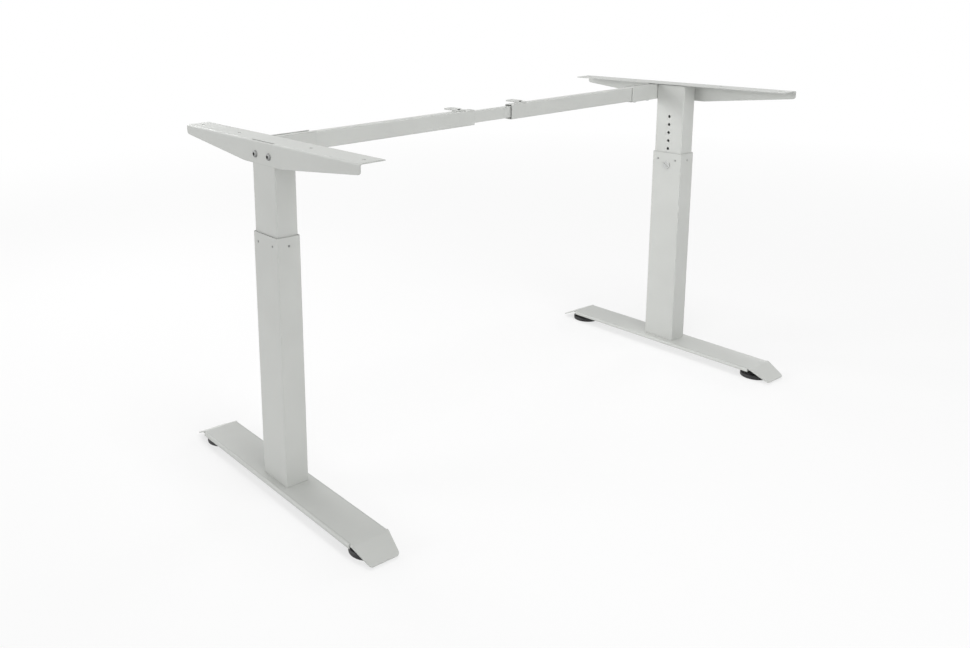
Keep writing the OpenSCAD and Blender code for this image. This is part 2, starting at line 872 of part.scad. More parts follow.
// Socket set screw that clamps the inner rail
module clamp_screw() {
    tip_z = rail_z + inner_rail_h / 2 + free_gap + clamp_pad_len + turn_gap;
    screw_len = rail_top + lug_t + clamp_proud - tip_z;
    color(zinc)
    translate([leg_span / 2 - lug_x, rail_y, tip_z])
        difference() {
            union() {
                cylinder(r = clamp_r, h = screw_len, $fn = 32);
                translate([0, 0, -lock_spigot_len + 2 * turn_gap])
                    cylinder(r = lock_spigot_r, h = lock_spigot_len, $fn = 32);
            }
            translate([0, 0, screw_len - clamp_socket_depth])
                cylinder(r = clamp_socket_r, h = clamp_socket_depth + cut_over, $fn = 6);
        }
}

// Inner rail of the crossbar, which slides in both outer rails
module inner_rail() {
    color(paint)
    translate([-inner_rail_len / 2, rail_y, rail_z])
        lay_along_x()
            tube(inner_rail_h, inner_rail_depth, rail_wall, inner_rail_corner_r, inner_rail_len);
}

// Plastic plugs in the two ends of the inner rail
module inner_rail_plugs() {
    color(black_plastic)
    for (side = [0, 1])
        mirror([side, 0, 0])
            translate([inner_rail_len / 2, rail_y, rail_z]) {
                lay_along_x()
                    linear_extrude(plug_lip_t)
                        round_rect(inner_rail_h, inner_rail_depth, inner_rail_corner_r);
                translate([-plug_len, 0, 0])
                    lay_along_x()
                        linear_extrude(plug_len)
                            square(
                                [inner_rail_h - 2 * rail_wall, inner_rail_depth - 2 * rail_wall],
                                center = true
                            );
            }
}

// Left leg
at_left() foot();  // left_foot
at_left() foot_bolts();  // left_foot_bolts
at_left() base_plug();  // left_base_plug
at_left() outer_column();  // left_outer_column
at_left() column_liner();  // left_column_liner
at_left() lock_nut();  // left_lock_nut
at_left() lock_pad();  // left_lock_pad
at_left() lock_screw();  // left_lock_screw
at_left() glide(-glide_y);  // left_front_glide
at_left() stud(-glide_y);  // left_front_stud
at_left() glide_nut(-glide_y);  // left_front_nut
at_left() glide(glide_y);  // left_rear_glide
at_left() stud(glide_y);  // left_rear_stud
at_left() glide_nut(glide_y);  // left_rear_nut

// What the left leg carries
at_left() inner_column();  // left_inner_column
at_left() column_shoe();  // left_column_shoe
at_left() bracket();  // left_bracket
at_left() bracket_screws();  // left_bracket_screws
at_left() bracket_nuts();  // left_bracket_nuts
at_left() rail_holder();  // left_rail_holder
at_left() holder_screws();  // left_holder_screws
at_left() nut_bar();  // left_nut_bar
at_left() outer_rail();  // left_outer_rail
at_left() rail_lug();  // left_rail_lug
at_left() rail_sleeve();  // left_rail_sleeve
at_left() clamp_pad();  // left_clamp_pad
at_left() clamp_screw();  // left_clamp_screw

// Middle of the crossbar
inner_rail();
inner_rail_plugs();

// Right leg
at_right() foot();  // right_foot
at_right() foot_bolts();  // right_foot_bolts
at_right() base_plug();  // right_base_plug
at_right() outer_column();  // right_outer_column
at_right() column_liner();  // right_column_liner
at_right() lock_nut();  // right_lock_nut
at_right() lock_pad();  // right_lock_pad
at_right() lock_screw();  // right_lock_screw
at_right() glide(-glide_y);  // right_front_glide
at_right() stud(-glide_y);  // right_front_stud
at_right() glide_nut(-glide_y);  // right_front_nut
at_right() glide(glide_y);  // right_rear_glide
at_right() stud(glide_y);  // right_rear_stud
at_right() glide_nut(glide_y);  // right_rear_nut

// What the right leg carries
at_right() inner_column();  // right_inner_column
at_right() column_shoe();  // right_column_shoe
at_right() bracket();  // right_bracket
at_right() bracket_screws();  // right_bracket_screws
at_right() bracket_nuts();  // right_bracket_nuts
at_right() rail_holder();  // right_rail_holder
at_right() holder_screws();  // right_holder_screws
at_right() nut_bar();  // right_nut_bar
at_right() outer_rail();  // right_outer_rail
at_right() rail_lug();  // right_rail_lug
at_right() rail_sleeve();  // right_rail_sleeve
at_right() clamp_pad();  // right_clamp_pad
at_right() clamp_screw();  // right_clamp_screw
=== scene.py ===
"""Looks of a height and width adjustable steel desk frame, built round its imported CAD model.

Metres, +Z up, +X along the crossbar, the desk's front is -Y. Pieces of a leg are made in the
leg's own frame, x = 0 at the column's centre and +X towards the other leg, and the right leg
mirrors the left.
"""

import math

import bmesh
import bpy
from mathutils import Matrix, Vector


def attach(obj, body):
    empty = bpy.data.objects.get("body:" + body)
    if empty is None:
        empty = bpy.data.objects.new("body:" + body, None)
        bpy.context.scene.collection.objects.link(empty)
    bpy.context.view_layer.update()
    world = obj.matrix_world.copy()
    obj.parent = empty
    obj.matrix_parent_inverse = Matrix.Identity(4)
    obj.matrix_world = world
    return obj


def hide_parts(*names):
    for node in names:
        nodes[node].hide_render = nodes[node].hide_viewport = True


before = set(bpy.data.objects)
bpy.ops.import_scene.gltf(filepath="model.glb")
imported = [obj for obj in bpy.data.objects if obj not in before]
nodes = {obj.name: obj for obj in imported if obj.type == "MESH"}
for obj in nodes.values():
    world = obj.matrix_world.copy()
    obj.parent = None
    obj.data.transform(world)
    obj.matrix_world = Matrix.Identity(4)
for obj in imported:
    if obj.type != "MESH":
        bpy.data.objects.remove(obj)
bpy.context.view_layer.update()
mm = 0.001

# Feet.
# Each foot is one sheet of 2.5 mm steel, level in its middle, with its long sides turned down
# and its two ends folded down to the floor. It is powder coated and bolted under the column.

half_span = 586 * mm
foot_top = 28 * mm
foot_sheet = 2.5 * mm
foot_half = 257 * mm
foot_half_w = 41 * mm
foot_tip_half_w = 31 * mm
foot_tip_len = 44 * mm
foot_tip_angle = math.radians(27)
foot_slope_mid = 20 * mm
foot_bend_r = 12 * mm
foot_side_h = 8 * mm
foot_side_r = 4 * mm
foot_side_gap = 3 * mm
foot_corner_r = 6 * mm


def edge_wear_and_reflection_group():
    """Mask of the sharp outer edges: rubbed edges on plastic, and a painted reflection along the
    edges of paint.
    """
    tree = bpy.data.node_groups.new("edge_wear_and_reflection", "ShaderNodeTree")
    radius = tree.interface.new_socket("Radius", in_out="INPUT", socket_type="NodeSocketFloat")
    radius.default_value = 0.0012
    tree.interface.new_socket("Edge", in_out="OUTPUT", socket_type="NodeSocketFloat")
    inside = tree.nodes.new("NodeGroupInput")
    outside = tree.nodes.new("NodeGroupOutput")
    geometry = tree.nodes.new("ShaderNodeNewGeometry")
    bevel = tree.nodes.new("ShaderNodeBevel")
    bevel.samples = 4
    dot = tree.nodes.new("ShaderNodeVectorMath")
    dot.operation = "DOT_PRODUCT"
    spread = tree.nodes.new("ShaderNodeMapRange")
    spread.inputs["From Min"].default_value = 0.995
    spread.inputs["From Max"].default_value = 0.90
    link = tree.links.new
    link(inside.outputs["Radius"], bevel.inputs["Radius"])
    link(bevel.outputs["Normal"], dot.inputs[0])
    link(geometry.outputs["Normal"], dot.inputs[1])
    link(dot.outputs["Value"], spread.inputs["Value"])
    link(spread.outputs["Result"], outside.inputs["Edge"])
    return tree


def orange_peel_group():
    """Fine, pebbled relief of a sprayed or moulded skin, and a slow shade over the surface."""
    tree = bpy.data.node_groups.new("orange_peel", "ShaderNodeTree")
    size = tree.interface.new_socket("Size", in_out="INPUT", socket_type="NodeSocketFloat")
    size.default_value = 900
    tree.interface.new_socket("Height", in_out="OUTPUT", socket_type="NodeSocketFloat")
    tree.interface.new_socket("Shade", in_out="OUTPUT", socket_type="NodeSocketFloat")
    inside = tree.nodes.new("NodeGroupInput")
    outside = tree.nodes.new("NodeGroupOutput")
    place = tree.nodes.new("ShaderNodeTexCoord")
    fine = tree.nodes.new("ShaderNodeTexNoise")
    fine.inputs["Detail"].default_value = 3
    fine.inputs["Roughness"].default_value = 0.6
    slow = tree.nodes.new("ShaderNodeTexNoise")
    slow.inputs["Scale"].default_value = 9
    slow.inputs["Detail"].default_value = 4
    link = tree.links.new
    link(place.outputs["Object"], fine.inputs["Vector"])
    link(place.outputs["Object"], slow.inputs["Vector"])
    link(inside.outputs["Size"], fine.inputs["Scale"])
    link(fine.outputs["Fac"], outside.inputs["Height"])
    link(slow.outputs["Fac"], outside.inputs["Shade"])
    return tree


edge_wear_and_reflection = edge_wear_and_reflection_group()
orange_peel = orange_peel_group()


def add_group(material, tree, **values):
    node = material.node_tree.nodes.new("ShaderNodeGroup")
    node.node_tree = tree
    for name, value in values.items():
        node.inputs[name].default_value = value
    return node


def blend_colours(material, mask, low, high, span):
    """Colour that runs from low to high while the mask runs over span; low may be a socket."""
    ramp = material.node_tree.nodes.new("ShaderNodeMapRange")
    ramp.inputs["From Min"].default_value, ramp.inputs["From Max"].default_value = span
    mix = material.node_tree.nodes.new("ShaderNodeMix")
    mix.data_type = "RGBA"
    ends = [s for s in mix.inputs if s.type == "RGBA"]
    link = material.node_tree.links.new
    for socket, colour in zip(ends, (low, high)):
        if isinstance(colour, tuple):
            socket.default_value = (*colour, 1)
        else:
            link(colour, socket)
    link(mask, ramp.inputs["Value"])
    link(ramp.outputs["Result"], mix.inputs["Factor"])
    return [s for s in mix.outputs if s.type == "RGBA"][0]


def set_shader(material, roughness, metallic, specular):
    material.use_nodes = True
    shader = material.node_tree.nodes["Principled BSDF"]
    shader.inputs["Roughness"].default_value = roughness
    shader.inputs["Metallic"].default_value = metallic
    shader.inputs["Specular IOR Level"].default_value = specular
    return shader


def vary_roughness(material, mask, low, high):
    ramp = material.node_tree.nodes.new("ShaderNodeMapRange")
    for name, value in zip(("From Min", "From Max", "To Min", "To Max"), (0.3, 0.7, low, high)):
        ramp.inputs[name].default_value = value
    shader = material.node_tree.nodes["Principled BSDF"]
    material.node_tree.links.new(mask, ramp.inputs["Value"])
    material.node_tree.links.new(ramp.outputs["Result"], shader.inputs["Roughness"])


def add_relief(material, height, strength, depth):
    bump = material.node_tree.nodes.new("ShaderNodeBump")
    bump.inputs["Strength"].default_value = strength
    bump.inputs["Distance"].default_value = depth
    shader = material.node_tree.nodes["Principled BSDF"]
    material.node_tree.links.new(height, bump.inputs["Height"])
    material.node_tree.links.new(bump.outputs["Normal"], shader.inputs["Normal"])


def painted_steel(name, base, edge_reflection):
    """Satin paint: pebbled skin, slow shade, and a painted reflection along the outer edges,
    darker or lighter than the paint.
    """
    material = bpy.data.materials.new(name)
    shader = set_shader(material, 0.46, 0, 0.4)
    skin = add_group(material, orange_peel, Size=1100)
    # The edge colour blended in over this mask is a painted reflection.
    wear_and_reflection = add_group(material, edge_wear_and_reflection, Radius=0.0018)
    darker = tuple(c * 0.97 for c in base)
    lighter = tuple(c * 1.02 for c in base)
    slow = blend_colours(material, skin.outputs["Shade"], darker, lighter, (0.35, 0.65))
    wear_and_reflection_colour = blend_colours(material, wear_and_reflection.outputs["Edge"], slow, edge_reflection, (0, 1))
    material.node_tree.links.new(wear_and_reflection_colour, shader.inputs["Base Color"])
    vary_roughness(material, skin.outputs["Shade"], 0.42, 0.52)
    add_relief(material, skin.outputs["Height"], 0.16, 0.00022)
    return material


# The darker edge colour is a painted dark reflection along the rounded corners and folds.
grey_coat = painted_steel("grey_powder_coat", (0.515, 0.525, 0.505), (0.38, 0.39, 0.375))


def make_piece(name, shape, body, material, replaced=()):
    """Turns a bmesh into a piece that rides on its body and stands for CAD nodes."""
    bmesh.ops.remove_doubles(shape, verts=shape.verts, dist=1e-7)
    bmesh.ops.recalc_face_normals(shape, faces=shape.faces)
    mesh = bpy.data.meshes.new(name)
    shape.to_mesh(mesh)
    shape.free()
    piece = bpy.data.objects.new(name, mesh)
    bpy.context.scene.collection.objects.link(piece)
    mesh.materials.append(material)
    mesh.polygons.foreach_set("use_smooth", [True] * len(mesh.polygons))
    mesh.set_sharp_from_angle(angle=math.radians(35))
    even = piece.modifiers.new("even_normals", "WEIGHTED_NORMAL")
    even.keep_sharp = True
    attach(piece, body)
    if replaced:
        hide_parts(*replaced)
    return piece


def on_both_legs(name, body, material, build, replaced):
    """Makes a piece on the left leg and its mirror image on the right leg."""
    for side, turn in (("left", 1), ("right", -1)):
        shape = bmesh.new()
        build(shape)
        bmesh.ops.translate(shape, verts=shape.verts, vec=(-half_span, 0, 0))
        bmesh.ops.scale(shape, verts=shape.verts, vec=(turn, 1, 1))
        gone = [f"{side}_{n}" for n in replaced]
        make_piece(f"{side}_{name}", shape, f"{side}_{body}", material, gone)


def loft(shape, rings, closed=False):
    """Skin over loops of points, by extruding the first loop's edges from ring to ring."""
    verts = [shape.verts.new(p) for p in rings[0]]
    first = [shape.edges.new((a, b)) for a, b in zip(verts, verts[1:] + verts[:1])]
    start, edges = verts, first
    for ring in rings[1:]:
        grown = bmesh.ops.extrude_edge_only(shape, edges=edges)["geom"]
        new = set(g for g in grown if isinstance(g, bmesh.types.BMVert))
        follow = []
        for v, place in zip(verts, ring):
            above = [e.other_vert(v) for e in v.link_edges if e.other_vert(v) in new][0]
            above.co = place
            follow.append(above)
        edges = [shape.edges.get(pair) for pair in zip(follow, follow[1:] + follow[:1])]
        verts = follow
    if closed:
        bmesh.ops.bridge_loops(shape, edges=edges + first)
    else:
        shape.faces.new(start)
        shape.faces.new(verts)


def arc(centre_u, centre_v, radius, start, end, steps):
    """Points of an arc in a plane, from start to end degrees."""
    turns = [math.radians(start + (end - start) * i / steps) for i in range(steps + 1)]
    return [(centre_u + radius * math.cos(t), centre_v + radius * math.sin(t)) for t in turns]


def round_edges(name, width):
    """Rounds the sharp edges of a folded or sawn piece on both legs, ahead of its even normals."""
    for side in ("left", "right"):
        piece = bpy.data.objects[f"{side}_{name}"]
        bevel = piece.modifiers.new("broken_edges", "BEVEL")
        bevel.width = width
        bevel.segments = 2
        bevel.limit_method = "ANGLE"
        bevel.angle_limit = math.radians(40)
        while piece.modifiers.find("broken_edges") > 0:
            piece.modifiers.move(piece.modifiers.find("broken_edges"), 0)


def foot_width(y, tip_y):
    """Half width of the foot at a place along it."""
    share = max(0, (abs(y) - foot_half) / (tip_y - foot_half))
    return foot_half_w + share * (foot_tip_half_w - foot_half_w)


def build_foot(shape):
    """Closed section of the folded sheet, carried along the foot's side view."""
    pivot_z = foot_top - foot_bend_r
    lean = foot_tip_angle
    stations = [(foot_half - foot_side_gap, foot_top, 0, 0)]
    for i in range(7):
        turn = lean * i / 6
        bend_y = foot_half + foot_bend_r * math.sin(turn)
        bend_z = pivot_z + foot_bend_r * math.cos(turn)
        stations.append((bend_y, bend_z, turn, 0))
    for along, cut in [(foot_slope_mid, 0), (foot_tip_len - foot_corner_r, 0)] + [
        (foot_tip_len - foot_corner_r + u, foot_corner_r - v)
        for u, v in arc(0, 0, foot_corner_r, 90, 0, 6)[1:]
    ]:
        stations.append(
            (bend_y + along * math.cos(lean), bend_z - along * math.sin(lean), lean, cut)
        )
    tip_y = stations[-1][0]
    rings = []
    for y, z, turn, cut in [(-y, z, -t, c) for y, z, t, c in reversed(stations)] + stations:
        half_w = foot_width(y, tip_y) - min(cut, foot_corner_r * 0.98)
        if abs(y) < foot_half - foot_side_gap / 2:
            half_w = foot_half_w - foot_side_r
        low_y, low_z = y - foot_sheet * math.sin(turn), z - foot_sheet * math.cos(turn)
        rings.append([
            (-half_w, y, z), (0, y, z), (half_w, y, z),
            (half_w, low_y, low_z), (0, low_y, low_z), (-half_w, low_y, low_z),
        ])
    loft(shape, rings)
    side_end = foot_half - foot_side_gap
    for out in (-1, 1):
        centre_x, centre_z = out * (foot_half_w - foot_side_r), foot_top - foot_side_r
        inner_r = foot_side_r - foot_sheet
        outer = [(x, z) for x, z in arc(centre_x, centre_z, foot_side_r, 90, 90 - 90 * out, 6)]
        outer.append((outer[-1][0], foot_top - foot_side_h))
        inner = [(x, z) for x, z in arc(centre_x, centre_z, inner_r, 90, 90 - 90 * out, 6)]
        inner.append((inner[-1][0], foot_top - foot_side_h))
        section = outer + inner[::-1]
        loft(shape, [[(x, y, z) for x, z in section] for y in (-side_end, side_end)])


on_both_legs("foot_sheet", "leg", grey_coat, build_foot, ["foot"])
round_edges("foot_sheet", 0.35 * mm)

# Levelling glides.
# Moulded black discs with a rounded rim and a recessed top, each on a zinc-plated stud with a
# hexagon for a spanner. The stud screws into a nut welded under the foot.

glide_y = 250 * mm
glide_r = 32 * mm
glide_h = 10 * mm
stud_r = 4 * mm
stud_low = 3.3 * mm
stud_high = 25.2 * mm
stud_hex_low = 10.3 * mm
stud_hex_h = 4.5 * mm
nut_half_w = 7.5 * mm
nut_h = 8 * mm
hex_chamfer_r = 6.2 * mm
hex_chamfer_h = 0.5 * mm
thread_pitch = 1.25 * mm
stud_root_r = 3.3 * mm
glide_rim_r = 3 * mm
glide_dish = 1.2 * mm
glide_hub_r = 13 * mm
glide_bore_r = stud_r + 0.1 * mm


def moulded_plastic(name, base, roughness):
    """Moulded plastic: fine grain, a little lighter where it is rubbed."""
    material = bpy.data.materials.new(name)
    shader = set_shader(material, roughness, 0, 0.45)
    skin = add_group(material, orange_peel, Size=1600)
    wear_and_reflection = add_group(material, edge_wear_and_reflection, Radius=0.0006)
    rubbed = tuple(min(1, c * 1.5 + 0.02) for c in base)
    darker = tuple(c * 0.85 for c in base)
    slow = blend_colours(material, skin.outputs["Shade"], darker, base, (0.3, 0.7))
    wear_and_reflection_colour = blend_colours(material, wear_and_reflection.outputs["Edge"], slow, rubbed, (0, 1))
    material.node_tree.links.new(wear_and_reflection_colour, shader.inputs["Base Color"])
    vary_roughness(material, skin.outputs["Shade"], roughness - 0.06, roughness + 0.08)
    add_relief(material, skin.outputs["Height"], 0.3, 0.0002)
    return material


def plated_steel(name, base, roughness, stretch):
    """Plated or oxidised steel: fine drawn lines and a cloudy plating."""
    material = bpy.data.materials.new(name)
    shader = set_shader(material, roughness, 1, 0.5)
    place = material.node_tree.nodes.new("ShaderNodeTexCoord")
    lines = material.node_tree.nodes.new("ShaderNodeTexNoise")
    lines.inputs["Scale"].default_value = 1
    lines.inputs["Detail"].default_value = 2
    draw = material.node_tree.nodes.new("ShaderNodeMapping")
    draw.inputs["Scale"].default_value = stretch
    skin = add_group(material, orange_peel, Size=240)
    link = material.node_tree.links.new
    link(place.outputs["Object"], draw.inputs["Vector"])
    link(draw.outputs["Vector"], lines.inputs["Vector"])
    darker = tuple(c * 0.82 for c in base)
    cloudy = blend_colours(material, skin.outputs["Height"], darker, base, (0.3, 0.7))
    link(cloudy, shader.inputs["Base Color"])
    vary_roughness(material, skin.outputs["Height"], roughness - 0.07, roughness + 0.1)
    add_relief(material, lines.outputs["Fac"], 0.2, 0.0001)
    return material


black_plastic = moulded_plastic("black_plastic", (0.018, 0.018, 0.019), 0.5)
zinc_steel = plated_steel("zinc_plated_steel", (0.60, 0.61, 0.62), 0.34, (150, 150, 2600))


def circle(radius, z, centre=(0, 0), steps=48):
    return [(x, y, z) for x, y in arc(*centre, radius, 0, 360, steps)[:-1]]


def hexagon(radius, z, centre=(0, 0), steps=48):
    """Loop of a hexagon with as many points as a circle, so the two can be skinned."""
    points = []
    for i in range(steps):
        turn = 2 * math.pi * i / steps
        off = (turn % (math.pi / 3)) - math.pi / 6
        reach = radius * math.cos(math.pi / 6) / math.cos(off)
        points.append((centre[0] + reach * math.cos(turn), centre[1] + reach * math.sin(turn), z))
    return points


def add_thread(shape, centre, low, high, radius, pitch):
    """Screw thread: a tooth's outline spun up the shank by one pitch a turn."""
    steps = 20
    root = radius - 0.6 * pitch
    turns = int((high - low) / pitch + 0.001) - 1
    line = [
        shape.verts.new((centre[0] + r, centre[1], low + z))
        for r, z in ((root, 0), (radius, 0.4 * pitch), (radius, 0.6 * pitch), (root, pitch))
    ]
    edges = [shape.edges.new(pair) for pair in zip(line, line[1:])]
    bmesh.ops.spin(
        shape, geom=line + edges, cent=(*centre, 0), axis=(0, 0, 1),
        dvec=(0, 0, pitch / steps), angle=2 * math.pi * turns,
        steps=steps * turns, use_merge=False, use_normal_flip=False, use_duplicate=False,
    )


def build_glide(place_y):
    def build(shape):
        centre = (0, place_y)
        rim = [
            (glide_r - 1.2 * mm, 0), (glide_r - 0.3 * mm, 0.4 * mm), (glide_r, 1.4 * mm),
            (glide_r, glide_h - glide_rim_r - 0.2 * mm),
        ]
        rim += arc(glide_r - glide_rim_r, glide_h - glide_rim_r, glide_rim_r, 0, 90, 6)
        rim += [
            (glide_r - 4.2 * mm, glide_h), (glide_r - 5 * mm, glide_h - glide_dish),
            (glide_hub_r, glide_h - glide_dish), (glide_hub_r - 1.5 * mm, glide_h - 0.2 * mm),
            (glide_hub_r - 2.5 * mm, glide_h), (glide_bore_r + 0.3 * mm, glide_h),
            (glide_bore_r, glide_h - 0.4 * mm), (glide_bore_r, 3 * mm),
        ]
        loft(shape, [circle(r, z, centre, 96) for r, z in rim])
    return build


def build_stud(place_y):
    def build(shape):
        centre = (0, place_y)
        flat = stud_hex_low + stud_hex_h
        body = [
            circle(stud_r - 0.7 * mm, stud_low, centre),
            circle(stud_r - 0.1 * mm, stud_low + 0.5 * mm, centre),
            circle(stud_r - 0.1 * mm, stud_hex_low, centre),
            circle(hex_chamfer_r, stud_hex_low, centre),
            hexagon(nut_half_w, stud_hex_low + hex_chamfer_h, centre),
            hexagon(nut_half_w, flat - hex_chamfer_h, centre),
            circle(hex_chamfer_r, flat, centre),
            circle(stud_root_r, flat, centre), circle(stud_root_r, stud_high - 0.3 * mm, centre),
            circle(stud_root_r - 0.5 * mm, stud_high, centre),
        ]
        loft(shape, body)
        add_thread(shape, centre, flat, stud_high - 0.4 * mm, stud_r, thread_pitch)
    return build


def build_weld_nut(place_y):
    def build(shape):
        centre = (0, place_y)
        low, high = foot_top - foot_sheet - nut_h, foot_top - foot_sheet
        loft(shape, [
            circle(stud_r + 0.05 * mm, high, centre),
            circle(stud_r + 0.05 * mm, low + 0.4 * mm, centre),
            circle(stud_r + 0.5 * mm, low, centre), circle(hex_chamfer_r, low, centre),
            hexagon(nut_half_w, low + hex_chamfer_h, centre), hexagon(nut_half_w, high, centre),
        ], closed=True)
    return build


for end, place in (("front", -glide_y), ("rear", glide_y)):
    on_both_legs(
        f"{end}_glide_disc", f"{end}_glide", black_plastic,
        build_glide(place), [f"{end}_glide"],
    )
    on_both_legs(
        f"{end}_threaded_stud", f"{end}_stud", zinc_steel,
        build_stud(place), [f"{end}_stud"],
    )
    on_both_legs(
        f"{end}_weld_nut", "leg", zinc_steel,
        build_weld_nut(place), [f"{end}_nut"],
    )

# Foot bolts.
# Four zinc-plated button head screws come up through the foot into a tapped steel plug that is
# welded into the bottom of the column. The plug stays the CAD solid, with its finish.

base_bolt_places = [(x * mm, y * mm) for x in (-11, 11) for y in (-25, 25)]
base_socket_r = 1.9 * mm
small_head_r = 5.25 * mm
small_head_h = 3.2 * mm
small_shank_r = 2.9 * mm
small_shank_len = 7 * mm


def add_button_head(shape, turn, head_r, head_h, socket_r, shank_r, shank_len):
    """Button head screw along local +Z, its head on z = 0, then turned and moved into place."""
    before = set(shape.verts)
    dome = [
        (head_r, 0), (head_r, 0.25 * head_h), (0.95 * head_r, 0.5 * head_h),
        (0.82 * head_r, 0.78 * head_h), (0.68 * head_r, 0.93 * head_h), (0.55 * head_r, head_h),
    ]
    deep = head_h * 0.25
    rings = [circle(shank_r, -shank_len), circle(shank_r, 0)] + [circle(r, z) for r, z in dome]
    rings += [hexagon(socket_r * 1.06, head_h), hexagon(socket_r, head_h - 0.2 * mm)]
    rings.append(hexagon(socket_r, deep))
    loft(shape, rings)
    made = [v for v in shape.verts if v not in before]
    bmesh.ops.transform(shape, matrix=turn, verts=made)


def add_small_screw(shape, turn, socket_r):
    add_button_head(
        shape, turn, small_head_r, small_head_h, socket_r, small_shank_r, small_shank_len,
    )


def build_base_bolts(shape):
    for x, y in base_bolt_places:
        turn = Matrix.Translation((x, y, foot_top - foot_sheet)) @ Matrix.Rotation(math.pi, 4, "X")
        add_small_screw(shape, turn, base_socket_r)


def finish_nodes(names, material):
    """Gives CAD nodes that stay as they are their finish, on both legs."""
    for side in ("left", "right"):
        for name in names:
            finish_node(f"{side}_{name}", material)


def finish_node(name, material):
    nodes[name].data.materials.clear()
    nodes[name].data.materials.append(material)


on_both_legs("base_bolts", "leg", zinc_steel, build_base_bolts, ["foot_bolts"])
finish_nodes(["base_plug"], zinc_steel)

# Outer columns.
# Cold-rolled rectangular tube, 80 x 50 x 1.5 mm, sawn square at both ends and powder coated.
# Small holes near its mouth take the nubs of the liner, and a larger one the clinch nut.

column_top = 510 * mm
column_half_w = 25 * mm
column_half_d = 40 * mm
tube_wall = 1.5 * mm
tube_corner_r = 3 * mm
nub_z = 493 * mm
nub_y = 24 * mm
nub_r = 2 * mm
lock_z = 480 * mm
clinch_r = 6.5 * mm
nub_hole_r = nub_r + 0.25 * mm
drill_half_len = 4 * mm


def round_rect(half_u, half_v, corner):
    """Loop of a rectangle with round corners."""
    points = []
    for u, v, start in ((1, 1, 0), (-1, 1, 90), (-1, -1, 180), (1, -1, 270)):
        centre = (u * (half_u - corner), v * (half_v - corner))
        points += arc(*centre, corner, start, start + 90, 6)
    return points


def add_tube(shape, place, half_u, half_v, corner, wall, low, high, lip=0.25 * mm):
    """Rectangular tube with broken end edges; place turns (u, v, along) into a point."""
    def ring(inset, along):
        radius = max(corner - inset, 0.2 * mm)
        return [place(u, v, along) for u, v in round_rect(half_u - inset, half_v - inset, radius)]

    loft(shape, [
        ring(lip, low), ring(0, low + lip), ring(0, high - lip), ring(lip, high),
        ring(wall - lip, high), ring(wall, high - lip),
        ring(wall, low + lip), ring(wall - lip, low),
    ], closed=True)


def upright(u, v, along):
    return (u, v, along)


def cut_holes(shape, holes, half_len=drill_half_len):
    """Drills round holes: each is a centre, an axis and a radius."""
    drill = bmesh.new()
    for centre, axis, radius in holes:
        turn = Vector((0, 0, 1)).rotation_difference(Vector(axis)).to_matrix().to_4x4()
        bmesh.ops.create_cone(
            drill, cap_ends=True, segments=32, radius1=radius, radius2=radius,
            depth=2 * half_len, matrix=Matrix.Translation(centre) @ turn,
        )
    cut_with(shape, drill)


def cut_with(shape, tool):
    """Takes a closed shape out of another one, by an exact Boolean."""
    holders = []
    for name, source in (("work", shape), ("tool", tool)):
        bmesh.ops.recalc_face_normals(source, faces=source.faces)
        mesh = bpy.data.meshes.new(name)
        source.to_mesh(mesh)
        holders.append(bpy.data.objects.new(name, mesh))
        bpy.context.scene.collection.objects.link(holders[-1])
    tool.free()
    work, cutter = holders
    boolean = work.modifiers.new("cut", "BOOLEAN")
    boolean.operation = "DIFFERENCE"
    boolean.solver = "EXACT"
    boolean.object = cutter
    bpy.context.view_layer.update()
    done = work.evaluated_get(bpy.context.evaluated_depsgraph_get())
    shape.clear()
    shape.from_mesh(done.to_mesh())
    done.to_mesh_clear()
    for holder in holders:
        mesh = holder.data
        bpy.data.objects.remove(holder)
        bpy.data.meshes.remove(mesh)


def build_outer_column(shape):
    add_tube(
        shape, upright, column_half_w, column_half_d, tube_corner_r, tube_wall,
        foot_top, column_top,
    )
    holes = [((column_half_w, 0, lock_z), (1, 0, 0), clinch_r)]
    for out in (-1, 1):
        holes.append(((0, out * column_half_d, nub_z), (0, 1, 0), nub_hole_r))
        for y in (-nub_y, nub_y):
            holes.append(((out * column_half_w, y, nub_z), (1, 0, 0), nub_hole_r))
    cut_holes(shape, holes)


on_both_legs(
    "column_tube", "leg", grey_coat,
    build_outer_column, ["outer_column"],
)

# Column liner.
# A grey moulded sleeve in the column's mouth guides the inner tube. Its six round nubs snap
# through the column's walls and show as dots.

liner_len = 60 * mm
liner_t = 1 * mm
grey_plastic = moulded_plastic("grey_plastic", (0.22, 0.225, 0.22), 0.45)


def build_liner(shape):
    add_tube(
        shape, upright, column_half_w - tube_wall, column_half_d - tube_wall, 1.5 * mm, liner_t,
        column_top - liner_len, column_top - 0.4 * mm, 0.2 * mm,
    )
    for angle, reach, off in (
        (0, column_half_w, -nub_y), (0, column_half_w, nub_y), (90, column_half_d, 0),
        (180, column_half_w, -nub_y), (180, column_half_w, nub_y), (270, column_half_d, 0),
    ):
        before = set(shape.verts)
        rise = reach - tube_wall - 0.5 * mm
        loft(shape, [
            circle(nub_r, rise), circle(nub_r, reach - 0.35 * mm),
            circle(nub_r - 0.35 * mm, reach - 0.05 * mm), circle(nub_r - 1 * mm, reach),
        ])
        made = [v for v in shape.verts if v not in before]
        turn = (
            Matrix.Rotation(math.radians(angle), 4, "Z") @ Matrix.Translation((0, off, nub_z))
            @ Matrix.Rotation(math.pi / 2, 4, "Y")
        )
        bmesh.ops.transform(shape, matrix=turn, verts=made)


on_both_legs("mouth_liner", "leg", grey_plastic, build_liner, ["column_liner"])

# Locking screw.
# A flat, painted head with a coin slot, turned in a clinch nut in the column's inner wall. A nylon
# pad on its tip presses on the inner tube, and both keep their CAD solids.

lock_head_r = 9.5 * mm
lock_head_h = 2.6 * mm
lock_slot = (1.6 * mm, 30 * mm, 2.6 * mm)
lock_slot_turn = math.radians(45)
# Its lighter edge colour is a painted highlight along the head's edges.
screw_paint = painted_steel("painted_screw", (0.44, 0.45, 0.44), (0.62, 0.62, 0.60))
nylon = moulded_plastic("white_nylon", (0.62, 0.60, 0.54), 0.42)


